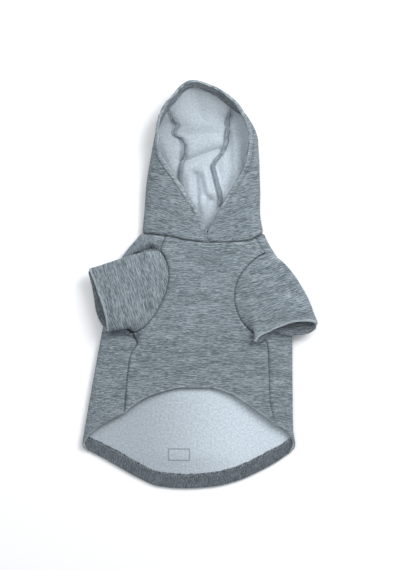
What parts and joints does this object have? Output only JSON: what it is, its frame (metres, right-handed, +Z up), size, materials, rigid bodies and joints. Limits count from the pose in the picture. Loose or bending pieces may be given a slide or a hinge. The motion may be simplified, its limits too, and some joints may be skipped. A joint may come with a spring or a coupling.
{
  "type": "dog hoodie",
  "caption": "Pullover dog hoodie in fleece-backed knit, lying on its back with the belly side up: short set-in sleeves, arched belly hem, longer back and a three-panel hood open upwards.",
  "frame": {"origin": "centre of the bounding box in x and y, at the floor under the garment", "axes": "+X across the garment, towards the picture's right; +Y from the back hem towards the crown of the hood; +Z up from the floor, out of the belly side"},
  "size_m": [0.2596, 0.4486, 0.0335],
  "materials": {
    "knit": "heather-grey sweatshirt knit, matt, with pale brushed fleece on the inside",
    "facing": "turned-in strip of the same knit, matt, darker in the shade of the opening",
    "overlocked_edge": "overlocked raw edge, soft and matt"
  },
  "bodies": {
    "root": {"back_panel": "knit", "belly_panel": "knit", "sleeve_left": "knit", "sleeve_right": "knit", "hood_left": "knit", "hood_centre": "knit", "hood_right": "knit", "back_hem_facing": "facing", "belly_hem_facing": "facing", "hood_rim_facing": "facing", "cuff_facing_left": "facing", "cuff_facing_right": "facing", "hood_allowance_left": "overlocked_edge", "hood_allowance_right": "overlocked_edge"}
  },
  "joints": []
}
